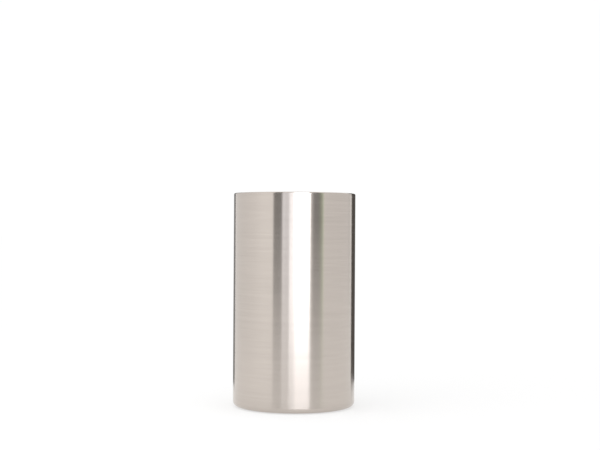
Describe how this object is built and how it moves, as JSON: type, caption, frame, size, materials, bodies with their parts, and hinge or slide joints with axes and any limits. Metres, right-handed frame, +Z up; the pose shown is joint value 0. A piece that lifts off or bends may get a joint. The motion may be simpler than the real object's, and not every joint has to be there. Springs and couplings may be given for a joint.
{
  "type": "tabletop bottle cooler",
  "caption": "Plain cylindrical insulated bottle cooler in brushed steel, with a rolled rim, a deep straight well and a non-slip foot ring.",
  "frame": {"origin": "centre of the foot ring's underside, at table level", "axes": "+Z up along the cylinder's axis; +Y is the back, where the foam sheet's ends meet"},
  "size_m": [0.102, 0.102, 0.178],
  "materials": {
    "brushed_shell": "brushed round the cylinder",
    "satin_liner": "satin, spun lines",
    "ground_weld": "ground flush and brushed",
    "mill_plate": "dull rolled",
    "weld_bead": "as welded",
    "foam": "closed-cell foam sheet",
    "silicone": "matt silicone",
    "foot_rubber": "matt black rubber",
    "adhesive": "thin acrylic film"
  },
  "bodies": {
    "root": {"outer_shell": "brushed_shell", "inner_liner": "satin_liner", "rim_weld": "ground_weld", "insulation_sleeve": "foam", "support_ring": "foam", "base_plate": "mill_plate", "base_weld": "weld_bead", "vent_plug": "silicone", "foot_ring": "foot_rubber", "foot_adhesive": "adhesive"}
  },
  "joints": []
}
